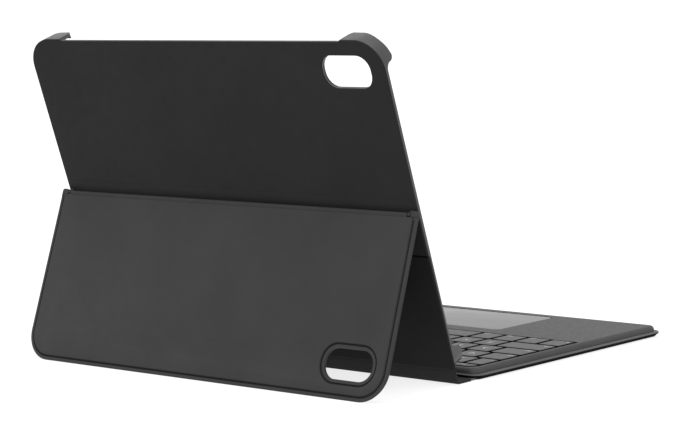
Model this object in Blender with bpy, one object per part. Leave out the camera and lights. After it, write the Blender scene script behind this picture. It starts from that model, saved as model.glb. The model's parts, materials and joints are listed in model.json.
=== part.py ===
"""Keyboard case for a 10.9 inch tablet: keyboard base, folding spine, snap-in tray and kickstand.

The frame is in metres with +Z up. X runs along the spine, with the user's left hand at -X. The user sits
at -Y and the kickstand foot stands at +Y. The origin is on the table, in the middle of the footprint.
"""

import math

import bmesh
import bpy
from mathutils import Matrix, Vector

# ---- driving dimensions ----
GAP = 0.0003                    # clearance between pieces that are glued or rest on each other

KEYBOARD_WIDTH = 0.2567
KEYBOARD_FRONT = -0.2013        # front and rear edges of the base, measured from the back line
KEYBOARD_REAR = -0.0133
BASE_CORNER_RADIUS = 0.0075
FLANGE_BOTTOM = 0.0018
FLANGE_TOP = 0.0031
BASE_FLOOR = 0.0012
BASE_UNDERCUT = 0.0023          # how far the sole is set in under the flange
DECK_BOTTOM = 0.0034
DECK_TOP = 0.0064
DECK_SETBACK = 0.0026           # from the flange edge to the foot of the deck
DECK_SLOPE = 0.0016             # how far the deck's side leans in over its height

WELL_HALF_WIDTH = 0.1229
WELL_REAR = -0.0168
WELL_FRONT = -0.1189
WELL_REAR_RADIUS = 0.0060
KEY_FIELD_HALF_WIDTH = 0.1224
KEY_ROW_PITCH = 0.0184
FUNCTION_ROW_PITCH = 0.0084     # the function keys are half as deep as the others
KEY_UNIT = 0.0168
KEY_GAP = 0.0018
KEY_BOTTOM = 0.0049
KEY_TOP = 0.0067
KEY_WEB_TOP = 0.0053

TOUCHPAD_HALF_WIDTH = 0.0580
TOUCHPAD_REAR = -0.1315
TOUCHPAD_FRONT = -0.1900

PORT_Y = -0.1560
PORT_HALF_WIDTH = 0.0045
PORT_BOTTOM = 0.0027
PORT_TOP = 0.0058
SWITCH_Y = -0.1760
SWITCH_TRAVEL = 0.0020
MAGNET_X = 0.0900
MAGNET_Y = -0.1935
LIGHT_X = 0.1050
LIGHT_Y = -0.1252

SPINE_THICKNESS = 0.0014
SPINE_LOWER_HALF_WIDTH = 0.1230
SPINE_UPPER_HALF_WIDTH = 0.1256
SPINE_UPPER_ANGLE = math.radians(63.7)
SPINE_UPPER_LENGTH = 0.0088
CREASE_CLEARANCE = 0.0009       # from a crease to the strips beside it
TRAY_CREASE_CLEARANCE = 0.0007

SHELL_ANGLE = math.radians(70.6)
SHELL_WIDTH = 0.2520
SHELL_HEIGHT = 0.1829
TOP_EDGE_RECESS = 0.0009        # the top edge is lower between the clips
SHELL_CORNER_RADIUS = 0.0165
SHELL_FOOT_RADIUS = 0.0060      # the outer corners beside the spine are squarer
SHELL_PLATE_BACK = 0.0009
SHELL_PLATE_FRONT = 0.0022
SHELL_LIP_FRONT = 0.0029
LONG_EDGE_FRONT = 0.0023
CLIP_WALL = 0.0022
CLIP_HOOK_BOTTOM = 0.0101
CLIP_HOOK_TOP = 0.0113
CLIP_HOOK_OVERHANG = 0.0012
CLIP_INNER_END = 0.1010         # where a clip stops on the long sides
CLIP_REACH_UP = 0.0118          # how far the lower clips run up the short sides
CLIP_REACH_DOWN = 0.0134        # and the upper clips down them
CAMERA_CENTRE_X = -0.1013
CAMERA_CENTRE_FROM_TOP = 0.0171
CAMERA_SIZE = (0.0314, 0.0176)
LOWER_PANEL_TOP = 0.0653        # height of the lower back panel above the shell's bottom edge

HINGE_HEIGHT = 0.0902           # from the shell's bottom edge to the kickstand hinge
HINGE_OFFSET = 0.0027           # from the shell's back face to the hinge axis
KICKSTAND_ANGLE = math.radians(71.0)
KICKSTAND_WIDTH = 0.2592
KICKSTAND_TAPER = 0.0050        # the share of its width that it loses up to the hinge
KICKSTAND_HALF_THICKNESS = 0.0014
KICKSTAND_FLANGE = 0.0030
FLANGE_OUTER = -0.0007
FLANGE_INNER = 0.0006
SKIN_THICKNESS = 0.0005
KICKSTAND_TOP = 0.0016
KICKSTAND_CORNER_RADIUS = 0.0165
WINDOW_CENTRE_X = -0.1034
WINDOW_CENTRE_FROM_HINGE = 0.0798
WINDOW_SIZE = (0.0310, 0.0170)
HINGE_TUBE_RADIUS = 0.0011
HINGE_TUBE_BORE = 0.0007
HINGE_PIN_RADIUS = 0.0004
HINGE_TUBE_HALF_LENGTH = 0.1218
EAR_INNER = 0.1222
EAR_OUTER = 0.1239
HORN_INNER = 0.1243             # the kickstand's flange runs up past each end of the hinge
HORN_ROOT = 0.1264
HORN_OUTER = 0.1287
HORN_TOP = 0.0018
LEAF_START = 0.0019             # the leaf's edges, measured up the back from the hinge axis
LEAF_END = 0.0066
LEAF_BACK = -0.0009
LEAF_FRONT = -0.0003

# ---- places worked out from the driving dimensions ----
SPINE_UP = Vector((0, math.cos(SPINE_UPPER_ANGLE), math.sin(SPINE_UPPER_ANGLE)))
SPINE_FORWARD = Vector((0, -math.sin(SPINE_UPPER_ANGLE), math.cos(SPINE_UPPER_ANGLE)))
SHELL_BACK_START = SPINE_UP * SPINE_UPPER_LENGTH
SHELL_UP = Vector((0, math.cos(SHELL_ANGLE), math.sin(SHELL_ANGLE)))
SHELL_FORWARD = Vector((0, -math.sin(SHELL_ANGLE), math.cos(SHELL_ANGLE)))
KICKSTAND_DOWN = Vector((0, math.cos(KICKSTAND_ANGLE), -math.sin(KICKSTAND_ANGLE)))
KICKSTAND_AXIS = SHELL_BACK_START + SHELL_UP * HINGE_HEIGHT - SHELL_FORWARD * HINGE_OFFSET
KICKSTAND_LENGTH = (KICKSTAND_AXIS.z - FLANGE_INNER * math.cos(KICKSTAND_ANGLE)) / math.sin(KICKSTAND_ANGLE)
FOOT_Y = KICKSTAND_AXIS.y + KICKSTAND_DOWN.y * KICKSTAND_LENGTH - FLANGE_OUTER * math.sin(KICKSTAND_ANGLE)
BACK_LINE = Vector((0, -(KEYBOARD_FRONT + FOOT_Y) / 2, 0))

MATERIALS = {
    "leather_dark": ((0.020, 0.020, 0.021), 0.62, 0.0),
    "leather": ((0.045, 0.045, 0.046), 0.60, 0.0),
    "tray_plastic": ((0.030, 0.030, 0.031), 0.45, 0.0),
    "deck_plastic": ((0.050, 0.050, 0.052), 0.50, 0.0),
    "key_plastic": ((0.060, 0.060, 0.062), 0.50, 0.0),
    "touchpad_glass": ((0.080, 0.080, 0.083), 0.20, 0.0),
    "microfibre": ((0.060, 0.060, 0.062), 0.95, 0.0),
    "steel": ((0.45, 0.45, 0.46), 0.35, 1.0),
    "magnet": ((0.55, 0.55, 0.56), 0.30, 1.0),
    "board": ((0.012, 0.060, 0.030), 0.55, 0.0),
    "battery_foil": ((0.35, 0.36, 0.38), 0.40, 1.0),
    "black_film": ((0.010, 0.010, 0.010), 0.60, 0.0),
    "light_guide": ((0.75, 0.78, 0.80), 0.25, 0.0),
    "fibre_board": ((0.16, 0.12, 0.08), 0.80, 0.0),
}


def clear_scene():
    for obj in list(bpy.data.objects):
        bpy.data.objects.remove(obj, do_unlink=True)


def material(name):
    found = bpy.data.materials.get(name)
    if found:
        return found
    colour, roughness, metallic = MATERIALS[name]
    made = bpy.data.materials.new(name)
    made.use_nodes = True
    shader = made.node_tree.nodes["Principled BSDF"]
    shader.inputs["Base Color"].default_value = (*colour, 1.0)
    shader.inputs["Roughness"].default_value = roughness
    shader.inputs["Metallic"].default_value = metallic
    return made


# ---- outlines and solids ----
def rounded_rect(x0, x1, y0, y1, radii, steps=6):
    """Counter-clockwise points of a rectangle; radii are for the corners x1y0, x1y1, x0y1 and x0y0."""
    if not isinstance(radii, (tuple, list)):
        radii = (radii,) * 4
    corners = ((x1, y0, -90, -1, 1), (x1, y1, 0, -1, -1), (x0, y1, 90, 1, -1), (x0, y0, 180, 1, 1))
    points = []
    for (x, y, start, sx, sy), radius in zip(corners, radii):
        cx, cy = x + sx * radius, y + sy * radius
        for step in range(steps + 1):
            angle = math.radians(start + 90 * step / steps)
            points.append((cx + radius * math.cos(angle), cy + radius * math.sin(angle)))
    return points


def ring(points, z):
    return [Vector((x, y, z)) for x, y in points]


def solid_from_rings(name, rings, material_name, matrix=None):
    """Skin a stack of closed rings, all with the same count of points, and cap both ends."""
    mesh = bpy.data.meshes.new(name)
    shape = bmesh.new()
    loops = [[shape.verts.new(point) for point in points] for points in rings]
    count = len(rings[0])
    for low, high in zip(loops, loops[1:]):
        for i in range(count):
            j = (i + 1) % count
            shape.faces.new((low[i], low[j], high[j], high[i]))
    shape.faces.new(list(reversed(loops[0])))
    shape.faces.new(loops[-1])
    bmesh.ops.remove_doubles(shape, verts=shape.verts, dist=1e-7)
    bmesh.ops.recalc_face_normals(shape, faces=shape.faces)
    if matrix is not None:
        bmesh.ops.transform(shape, matrix=matrix, verts=shape.verts)
    shape.to_mesh(mesh)
    shape.free()
    obj = bpy.data.objects.new(name, mesh)
    bpy.context.collection.objects.link(obj)
    if material_name:
        mesh.materials.append(material(material_name))
    return obj


def prism(name, points, z0, z1, material_name, matrix=None):
    return solid_from_rings(name, (ring(points, z0), ring(points, z1)), material_name, matrix)


def box(name, x0, x1, y0, y1, z0, z1, material_name=None):
    return prism(name, ((x0, y0), (x1, y0), (x1, y1), (x0, y1)), z0, z1, material_name)


def along_x(name, points, x0, x1, material_name=None):
    """Extrude an outline given as (y, z) points from x0 to x1."""
    turn = Matrix(((0, 0, 1, 0), (1, 0, 0, 0), (0, 1, 0, 0), (0, 0, 0, 1)))
    return prism(name, points, x0, x1, material_name, turn)


def rod(name, radius, x0, x1, material_name=None, y=0.0, z=0.0, sides=16):
    points = [(y + radius * math.cos(math.tau * i / sides), z + radius * math.sin(math.tau * i / sides))
              for i in range(sides)]
    return along_x(name, points, x0, x1, material_name)


def boolean(obj, other, operation):
    other.hide_render = True
    other.display_type = "WIRE"
    modifier = obj.modifiers.new(other.name, "BOOLEAN")
    modifier.operation = operation
    modifier.solver = "EXACT"
    modifier.object = other


def cut(obj, cutter):
    boolean(obj, cutter, "DIFFERENCE")


def unite(obj, piece):
    boolean(obj, piece, "UNION")


def smooth(obj, degrees=35):
    obj.data.shade_smooth()
    obj.data.set_sharp_from_angle(angle=math.radians(degrees))


def empty(name, location, angle=0.0):
    frame = bpy.data.objects.new(name, None)
    frame.empty_display_size = 0.01
    frame.location = location
    frame.rotation_euler = (angle, 0, 0)
    bpy.context.collection.objects.link(frame)
    return frame


def attach(frame, *pieces):
    for piece in pieces:
        piece.parent = frame
        for modifier in piece.modifiers:
            modifier.object.parent = frame


# ---- keyboard base ----
def base_outline(inset, radius_change=0.0, rear_inset=None):
    half = KEYBOARD_WIDTH / 2 - inset
    rear = KEYBOARD_REAR - (inset if rear_inset is None else rear_inset)
    radius = max(BASE_CORNER_RADIUS - inset - radius_change, 0.001)
    return rounded_rect(-half, half, KEYBOARD_FRONT + inset, rear, radius)


def keyboard_bottom_cover():
    rings = (ring(base_outline(BASE_UNDERCUT), 0.0),
             ring(base_outline(BASE_UNDERCUT * 0.35), FLANGE_BOTTOM * 0.45),
             ring(base_outline(0.0003), FLANGE_BOTTOM),
             ring(base_outline(0.0), (FLANGE_BOTTOM + FLANGE_TOP) / 2),
             ring(base_outline(0.0004), FLANGE_TOP))
    cover = solid_from_rings("keyboard_bottom_cover", rings, "leather")
    recess = prism("base_recess", base_outline(0.0048, rear_inset=0.0030), BASE_FLOOR, 0.01, None)
    cut(cover, recess)
    plug_room = box("plug_room", 0.1225, 0.1300, PORT_Y - 0.0062, PORT_Y + 0.0062, 0.0024, 0.0050)
    cut(cover, plug_room)
    return cover


def keyboard_deck():
    rings = (ring(base_outline(DECK_SETBACK, rear_inset=0.0012), DECK_BOTTOM),
             ring(base_outline(DECK_SETBACK + DECK_SLOPE * 0.75, rear_inset=0.0021), DECK_TOP - 0.0006),
             ring(base_outline(DECK_SETBACK + DECK_SLOPE, rear_inset=0.0026), DECK_TOP))
    deck = solid_from_rings("keyboard_deck", rings, "deck_plastic")
    well_radii = (0.0020, WELL_REAR_RADIUS, WELL_REAR_RADIUS, 0.0020)
    well = rounded_rect(-WELL_HALF_WIDTH, WELL_HALF_WIDTH, WELL_FRONT, WELL_REAR, well_radii)
    cut(deck, prism("key_well", well, 0.0, 0.01, None))
    pad_half = TOUCHPAD_HALF_WIDTH + GAP
    pad = rounded_rect(-pad_half, pad_half, TOUCHPAD_FRONT - GAP, TOUCHPAD_REAR + GAP, 0.0040)
    cut(deck, prism("touchpad_opening", pad, 0.0, 0.01, None))
    for side, name in ((-1, "left"), (1, "right")):
        inner, outer = sorted((side * 0.0625, side * 0.1190))
        cut(deck, box("palm_rest_room_" + name, inner, outer, -0.1890, -0.1315, 0.0, 0.0054))
        magnet_x = side * MAGNET_X
        cut(deck, box("magnet_pocket_" + name, magnet_x - 0.0063, magnet_x + 0.0063,
                      MAGNET_Y - 0.0023, MAGNET_Y + 0.0023, 0.0, 0.0054))
    cut(deck, box("port_opening", 0.1160, 0.1300, PORT_Y - PORT_HALF_WIDTH - GAP,
                  PORT_Y + PORT_HALF_WIDTH + GAP, 0.0, PORT_TOP + GAP))
    cut(deck, box("switch_slot", 0.1185, 0.1300, SWITCH_Y - 0.0022, SWITCH_Y + 0.0022 + SWITCH_TRAVEL,
                  0.0040, 0.0055))
    cut(deck, box("light_slot", LIGHT_X - 0.0045, LIGHT_X + 0.0045, LIGHT_Y - 0.0009, LIGHT_Y + 0.0009,
                  0.0, 0.01))
    return deck


def keyboard_internals():
    plate = rounded_rect(-0.1222, 0.1222, WELL_FRONT + 0.0006, WELL_REAR - 0.0006, 0.0080)
    pieces = [prism("key_support_plate", plate, 0.0023, 0.0028, "steel"),
              prism("key_membrane", plate, 0.0031, 0.0034, "black_film"),
              box("battery_cell_left", -0.1170, -0.0650, -0.1870, -0.1335, 0.0016, 0.0050, "battery_foil"),
              box("battery_cell_middle", -0.0450, 0.0450, -0.1830, -0.1390, 0.0016, 0.0040, "battery_foil"),
              box("main_board", 0.0650, 0.1180, -0.1870, -0.1335, 0.0016, 0.0023, "board"),
              box("status_light_bar", LIGHT_X - 0.0042, LIGHT_X + 0.0042, LIGHT_Y - 0.0006,
                  LIGHT_Y + 0.0006, 0.0040, DECK_TOP, "light_guide")]
    for side, name in ((-1, "left"), (1, "right")):
        pieces.append(box("closing_magnet_" + name, side * MAGNET_X - 0.0060, side * MAGNET_X + 0.0060,
                          MAGNET_Y - 0.0020, MAGNET_Y + 0.0020, 0.0016, 0.0050, "magnet"))
    return pieces


def charging_port():
    """A reversible socket: a flat oval shell with its tongue, open to the user's right."""
    height = PORT_TOP - PORT_BOTTOM
    shell = rounded_rect(PORT_Y - PORT_HALF_WIDTH, PORT_Y + PORT_HALF_WIDTH, PORT_BOTTOM, PORT_TOP,
                         height * 0.45, 4)
    port = along_x("charging_port", shell, 0.1165, 0.1240, "steel")
    wall = 0.0003
    mouth = rounded_rect(PORT_Y - PORT_HALF_WIDTH + wall, PORT_Y + PORT_HALF_WIDTH - wall,
                         PORT_BOTTOM + wall, PORT_TOP - wall, height * 0.45 - wall, 4)
    cut(port, along_x("port_mouth", mouth, 0.1175, 0.1260))
    middle = (PORT_BOTTOM + PORT_TOP) / 2
    unite(port, box("port_tongue", 0.1170, 0.1232, PORT_Y - 0.0033, PORT_Y + 0.0033,
                    middle - 0.00035, middle + 0.00035))
    return port


def power_switch():
    y0, y1 = SWITCH_Y - 0.0018, SWITCH_Y + 0.0018
    knob = box("power_switch", 0.1168, 0.1262, y0, y1, 0.0043, 0.0052, "key_plastic")
    unite(knob, box("switch_foot", 0.1168, 0.1180, y0 - 0.0001, y1 + 0.0001, 0.0027, 0.0047))
    return knob


def touchpad():
    outline = rounded_rect(-TOUCHPAD_HALF_WIDTH, TOUCHPAD_HALF_WIDTH, TOUCHPAD_FRONT, TOUCHPAD_REAR, 0.0037)
    glass = prism("touchpad_plate", outline, 0.0055, DECK_TOP - 0.0001, "touchpad_glass")
    board = box("touchpad_board", -0.0560, 0.0560, -0.1880, -0.1335, 0.0048, 0.0052, "board")
    frame = box("touchpad_frame", -0.0565, 0.0565, -0.1885, -0.1330, 0.0016, 0.0043, "steel")
    cut(frame, box("battery_window", -0.0460, 0.0460, -0.1840, -0.1380, 0.0, 0.01))
    return glass, board, frame


# ---- keys ----
def key_cap(name, x0, x1, y0, y1, round_left=False, round_right=False):
    """A cap with its top edge eased; a key at the well's rear corner is rounded to match it."""
    levels = ((0.0, KEY_BOTTOM), (0.0, KEY_TOP - 0.0006), (0.00045, KEY_TOP))
    small, large = 0.0012, WELL_REAR_RADIUS - 0.0008
    radii = (small, large if round_right else small, large if round_left else small, small)
    rings = [ring(rounded_rect(x0 + inset, x1 - inset, y0 + inset, y1 - inset, radii, 2), z)
             for inset, z in levels]
    return solid_from_rings(name, rings, "key_plastic")


def row_depth(row):
    return (KEY_ROW_PITCH if row else FUNCTION_ROW_PITCH) - KEY_GAP


def row_front(row):
    """Row 0 is the function row beside the spine; row 5 is the space bar's."""
    return WELL_REAR - 0.0004 - FUNCTION_ROW_PITCH - KEY_ROW_PITCH * row + KEY_GAP / 2


def key_at(name, row, x0, x1, low=0.0, high=1.0):
    """A key between two places along its row; low and high share the row's depth between two keys."""
    depth = row_depth(row)
    front = row_front(row)
    half_gap = KEY_GAP / 2
    corner = row == 0
    return key_cap(name, x0 + half_gap, x1 - half_gap, front + depth * low, front + depth * high,
                   corner and x0 < -KEY_FIELD_HALF_WIDTH + GAP, corner and x1 > KEY_FIELD_HALF_WIDTH - GAP)


def key_row(name, row, widths, start):
    """Equal keys side by side as one piece, tied by a thin web under them."""
    x = start
    first = key_at(name, row, x, x + widths[0])
    for index, width in enumerate(widths[1:]):
        x += width
        unite(first, key_at("%s_cap_%d" % (name, index + 2), row, x, x + width))
    middle = row_front(row) + row_depth(row) / 2
    unite(first, box(name + "_web", start + 0.0030, x + widths[-1] - 0.0030,
                     middle - 0.0015, middle + 0.0015, KEY_BOTTOM, KEY_WEB_TOP))
    return first


def keys():
    left, right = -KEY_FIELD_HALF_WIDTH, KEY_FIELD_HALF_WIDTH
    small = 0.0159
    made = []
    function_width = (right - left) / 14
    made.append(key_at("key_escape", 0, left, left + function_width))
    made.append(key_row("keys_function", 0, (function_width,) * 13, left + function_width))
    rows = ((1, "key_grave", 0.0128, "keys_number", 12, "key_backspace"),
            (2, "key_tab", 0.0180, "keys_letters_upper", 12, "key_backslash"),
            (3, "key_caps_lock", 0.0224, "keys_letters_home", 11, "key_enter"),
            (4, "key_shift_left", 0.0316, "keys_letters_lower", 10, "key_shift_right"))
    for row, first, first_width, group, count, last in rows:
        start = left + first_width
        end = start + count * KEY_UNIT
        made.append(key_at(first, row, left, start))
        made.append(key_row(group, row, (KEY_UNIT,) * count, start))
        made.append(key_at(last, row, end, right))
    x = left
    for name in ("key_globe", "key_control", "key_option_left", "key_command_left"):
        made.append(key_at(name, 5, x, x + small))
        x += small
    space_end = right - 5 * small
    made.append(key_at("key_space", 5, x, space_end))
    x = space_end
    for name in ("key_command_right", "key_option_right"):
        made.append(key_at(name, 5, x, x + small))
        x += small
    half_gap_share = 0.04
    made.append(key_at("key_arrow_left", 5, x, x + small, 0.0, 0.5 - half_gap_share))
    made.append(key_at("key_arrow_up", 5, x + small, x + 2 * small, 0.5 + half_gap_share, 1.0))
    made.append(key_at("key_arrow_down", 5, x + small, x + 2 * small, 0.0, 0.5 - half_gap_share))
    made.append(key_at("key_arrow_right", 5, x + 2 * small, right, 0.0, 0.5 - half_gap_share))
    return made


# ---- spine ----
def spine_panel(name, half_width, start, end):
    """A stiffened strip of the cover, lying along +Y of its own frame and level with its creases."""
    half = SPINE_THICKNESS / 2
    outline = rounded_rect(-half_width, half_width, start, end, 0.0008, 3)
    rings = (ring(outline, -half), ring(outline, half))
    return solid_from_rings(name, rings, "leather_dark")


# ---- tablet tray ----
def shell_outline(inset, foot=SHELL_FOOT_RADIUS):
    half = SHELL_WIDTH / 2 - inset
    upper, lower = SHELL_CORNER_RADIUS - inset, foot - inset
    return rounded_rect(-half, half, inset, SHELL_HEIGHT - inset, (lower, upper, upper, lower), 8)


def tablet_shell():
    """A thin plate with four corner clips; local z is 0 on the back face and grows towards the tablet."""
    rings = (ring(shell_outline(0.0005), SHELL_PLATE_BACK),
             ring(shell_outline(0.0), SHELL_PLATE_BACK + 0.0005),
             ring(shell_outline(0.0), CLIP_HOOK_TOP - 0.0011),
             ring(shell_outline(0.0004), CLIP_HOOK_TOP - 0.0003),
             ring(shell_outline(0.0010), CLIP_HOOK_TOP))
    shell = solid_from_rings("tablet_shell", rings, "tray_plastic")
    room = prism("tablet_room", shell_outline(CLIP_WALL, SHELL_CORNER_RADIUS), SHELL_PLATE_FRONT,
                 CLIP_HOOK_BOTTOM, None)
    cut(shell, room)
    hook_opening = shell_outline(CLIP_WALL + CLIP_HOOK_OVERHANG, SHELL_CORNER_RADIUS)
    cut(shell, prism("hook_opening", hook_opening, CLIP_HOOK_BOTTOM - 0.002, 0.02, None))
    end = CLIP_INNER_END
    gap_long = ((-end, LONG_EDGE_FRONT), (end, LONG_EDGE_FRONT), (end, CLIP_HOOK_TOP - 0.0012),
                (end + 0.0012, 0.0125), (-end - 0.0012, 0.0125), (-end, CLIP_HOOK_TOP - 0.0012))
    stand = Matrix(((1, 0, 0, 0), (0, 0, -1, 0), (0, 1, 0, 0), (0, 0, 0, 1)))
    cut(shell, prism("long_side_gap", gap_long, -0.25, 0.05, None, stand))
    cut(shell, top_edge_recess("top_edge_recess"))
    low, high = CLIP_REACH_UP, SHELL_HEIGHT - CLIP_REACH_DOWN
    fillet = 0.0036
    curve = [(1 - math.cos(math.radians(a)), 1 - math.sin(math.radians(a))) for a in (90, 67.5, 45, 22.5, 0)]
    floor = SHELL_LIP_FRONT
    gap_short = [(low + fillet * u, floor + fillet * v) for u, v in curve]
    gap_short += [(low, 0.0125), (high, 0.0125)]
    gap_short += [(high - fillet * u, floor + fillet * v) for u, v in reversed(curve)]
    cut(shell, along_x("short_side_gap", gap_short, -0.14, 0.14))
    cut(shell, camera_cutter("camera_opening", 0.0))
    return shell


def top_edge_recess(name):
    bottom = SHELL_HEIGHT - TOP_EDGE_RECESS
    return box(name, -CLIP_INNER_END, CLIP_INNER_END, bottom, 0.2, -0.01, 0.02)


def camera_cutter(name, growth):
    half_x, half_y = CAMERA_SIZE[0] / 2 + growth, CAMERA_SIZE[1] / 2 + growth
    centre_y = SHELL_HEIGHT - CAMERA_CENTRE_FROM_TOP
    outline = rounded_rect(CAMERA_CENTRE_X - half_x, CAMERA_CENTRE_X + half_x,
                           centre_y - half_y, centre_y + half_y, 0.0078 + growth, 6)
    return prism(name, outline, -0.005, 0.02, None)


def upper_back_skin():
    bottom = LOWER_PANEL_TOP + 0.0004
    half = SHELL_WIDTH / 2 - 0.0004
    radii = (0.0005, SHELL_CORNER_RADIUS - 0.0004, SHELL_CORNER_RADIUS - 0.0004, 0.0005)
    outline = rounded_rect(-half, half, bottom, SHELL_HEIGHT - 0.0004, radii, 8)
    edge = rounded_rect(-half + 0.0003, half - 0.0003, bottom + 0.0001, SHELL_HEIGHT - 0.0007, radii, 8)
    rings = (ring(edge, 0.0), ring(outline, 0.0002), ring(outline, 0.0006))
    skin = solid_from_rings("upper_back_skin", rings, "leather_dark")
    cut(skin, camera_cutter("skin_camera_opening", 0.0003))
    cut(skin, top_edge_recess("skin_edge_recess"))
    return skin


def lower_back_panel():
    half = SHELL_WIDTH / 2 - 0.0002
    outline = rounded_rect(-half, half, 0.0006, LOWER_PANEL_TOP, 0.0010, 4)
    edge = rounded_rect(-half + 0.0004, half - 0.0004, 0.0010, LOWER_PANEL_TOP - 0.0004, 0.0006, 4)
    rings = (ring(edge, -0.0005), ring(outline, -0.0002), ring(outline, 0.0006))
    panel = solid_from_rings("lower_back_panel", rings, "leather_dark")
    cut(panel, box("steel_pocket", -0.1060, 0.1060, 0.0100, 0.0560, -0.0001, 0.01))
    steel = box("lower_back_steel_plate", -0.1057, 0.1057, 0.0103, 0.0557, 0.0002, 0.0006, "steel")
    return panel, steel


def tablet_lining():
    lining = prism("tablet_lining", shell_outline(CLIP_WALL + 0.0004, SHELL_CORNER_RADIUS),
                   SHELL_PLATE_FRONT + GAP, 0.0029, "microfibre")
    cut(lining, camera_cutter("lining_camera_opening", 0.0))
    return lining


# ---- kickstand hinge, in the tray's frame ----
def kickstand_hinge_leaf():
    axis_y, axis_z = HINGE_HEIGHT, -HINGE_OFFSET
    leaf = box("kickstand_hinge_leaf", -EAR_OUTER, EAR_OUTER, axis_y + LEAF_START, axis_y + LEAF_END,
               LEAF_BACK, LEAF_FRONT, "leather_dark")
    for side, name in ((-1, "left"), (1, "right")):
        x0, x1 = sorted((side * EAR_INNER, side * EAR_OUTER))
        ear = ((axis_y + 0.0024, LEAF_FRONT - 0.0003), (axis_y + 0.0024, LEAF_BACK - 0.0001),
               (axis_y + 0.0011, -0.0011), (axis_y + 0.0013, -0.0024), (axis_y + 0.0012, -0.0033),
               (axis_y + 0.0005, -0.0040), (axis_y - 0.0005, -0.0040), (axis_y - 0.0012, -0.0033),
               (axis_y - 0.0013, -0.0024), (axis_y - 0.0011, -0.0011), (axis_y - 0.0008, LEAF_FRONT - 0.0003))
        unite(leaf, along_x("hinge_ear_" + name, ear, x0, x1))
        cut(leaf, rod("hinge_ear_bore_" + name, HINGE_TUBE_BORE, x0 - 0.001, x1 + 0.001, None,
                      axis_y, axis_z, 12))
    return leaf


def kickstand_hinge_pin():
    return rod("kickstand_hinge_pin", HINGE_PIN_RADIUS, -0.1237, 0.1237, "steel",
               HINGE_HEIGHT, -HINGE_OFFSET, 12)


# ---- kickstand, in its own frame: y is 0 on the axis and falls towards the foot ----
def kickstand_outline(inset, corner=KICKSTAND_CORNER_RADIUS):
    half = KICKSTAND_WIDTH / 2 - inset
    radii = (corner - inset, 0.0004, 0.0004, corner - inset)
    outline = rounded_rect(-half, half, -KICKSTAND_LENGTH + inset, -KICKSTAND_TOP, radii, 8)
    return [(x * (1 - KICKSTAND_TAPER * (1 + y / KICKSTAND_LENGTH)), y) for x, y in outline]


def kickstand_window(name, growth, z0=-0.02, z1=0.02):
    half_x, half_y = WINDOW_SIZE[0] / 2 + growth, WINDOW_SIZE[1] / 2 + growth
    outline = rounded_rect(WINDOW_CENTRE_X - half_x, WINDOW_CENTRE_X + half_x,
                           -WINDOW_CENTRE_FROM_HINGE - half_y, -WINDOW_CENTRE_FROM_HINGE + half_y,
                           0.0076 + growth, 6)
    return prism(name, outline, z0, z1, None)


def kickstand_skin(name, flange_face, flange_back, panel_face, panel_back):
    """A pressed cover: flat flange at the edge and round the window, raised over the core board."""
    away = 1 if panel_face > flange_face else -1
    edge = KICKSTAND_FLANGE
    rings = (ring(kickstand_outline(0.0), flange_back),
             ring(kickstand_outline(0.0), flange_face),
             ring(kickstand_outline(edge - 0.0007), flange_face),
             ring(kickstand_outline(edge), panel_face))
    skin = solid_from_rings(name, rings, "leather")
    pocket_top = panel_back
    pocket = (ring(kickstand_outline(edge + 0.0006), flange_back - away * 0.001),
              ring(kickstand_outline(edge + 0.0006), pocket_top))
    cut(skin, solid_from_rings(name + "_pocket", pocket, None))
    collar_low, collar_high = sorted((flange_back, pocket_top + away * 0.0002))
    unite(skin, kickstand_window(name + "_collar", 0.0030, collar_low, collar_high))
    step_low, step_high = sorted((flange_face, panel_face + away * 0.001))
    cut(skin, kickstand_window(name + "_step", 0.0022, step_low, step_high))
    cut(skin, kickstand_window(name + "_window", 0.0))
    horn = ((HORN_INNER, -KICKSTAND_TOP + GAP), (HORN_ROOT, -KICKSTAND_TOP + GAP), (HORN_ROOT, -0.0030),
            (HORN_OUTER, -0.0030), (HORN_OUTER, HORN_TOP - 0.0009), (HORN_OUTER - 0.0009, HORN_TOP),
            (HORN_INNER + 0.0007, HORN_TOP), (HORN_INNER, HORN_TOP - 0.0007))
    low, high = sorted((flange_face, flange_back))
    unite(skin, prism(name + "_horn_right", horn, low, high, None))
    unite(skin, prism(name + "_horn_left", [(-x, y) for x, y in reversed(horn)], low, high, None))
    return skin


def kickstand():
    outer = kickstand_skin("kickstand_outer_skin", FLANGE_OUTER, FLANGE_OUTER + SKIN_THICKNESS,
                           -KICKSTAND_HALF_THICKNESS, -KICKSTAND_HALF_THICKNESS + SKIN_THICKNESS)
    inner = kickstand_skin("kickstand_inner_skin", FLANGE_INNER, FLANGE_INNER - SKIN_THICKNESS,
                           KICKSTAND_HALF_THICKNESS, KICKSTAND_HALF_THICKNESS - SKIN_THICKNESS)
    core = prism("kickstand_core", kickstand_outline(KICKSTAND_FLANGE + 0.0010), -0.0006, 0.0006,
                 "fibre_board")
    cut(core, kickstand_window("core_window", 0.0044))
    magnets = []
    for side, name in ((-1, "left"), (1, "right")):
        x = side * 0.0600
        cut(core, box("core_pocket_" + name, x - 0.0103, x + 0.0103, -0.0903, -0.0837, -0.01, 0.01))
        magnets.append(box("kickstand_magnet_" + name, x - 0.0100, x + 0.0100, -0.0900, -0.0840,
                           -0.0006, 0.0006, "magnet"))
    tube = rod("kickstand_hinge_tube", HINGE_TUBE_RADIUS, -HINGE_TUBE_HALF_LENGTH, HINGE_TUBE_HALF_LENGTH,
               "leather")
    cut(tube, rod("hinge_tube_bore", HINGE_TUBE_BORE, -0.13, 0.13, None, 0, 0, 12))
    unite(tube, box("hinge_tube_leaf", -HINGE_TUBE_HALF_LENGTH, HINGE_TUBE_HALF_LENGTH,
                    -KICKSTAND_TOP + GAP, -0.0008, -0.0007, 0.0007))
    return [outer, inner, core, tube] + magnets


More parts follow.
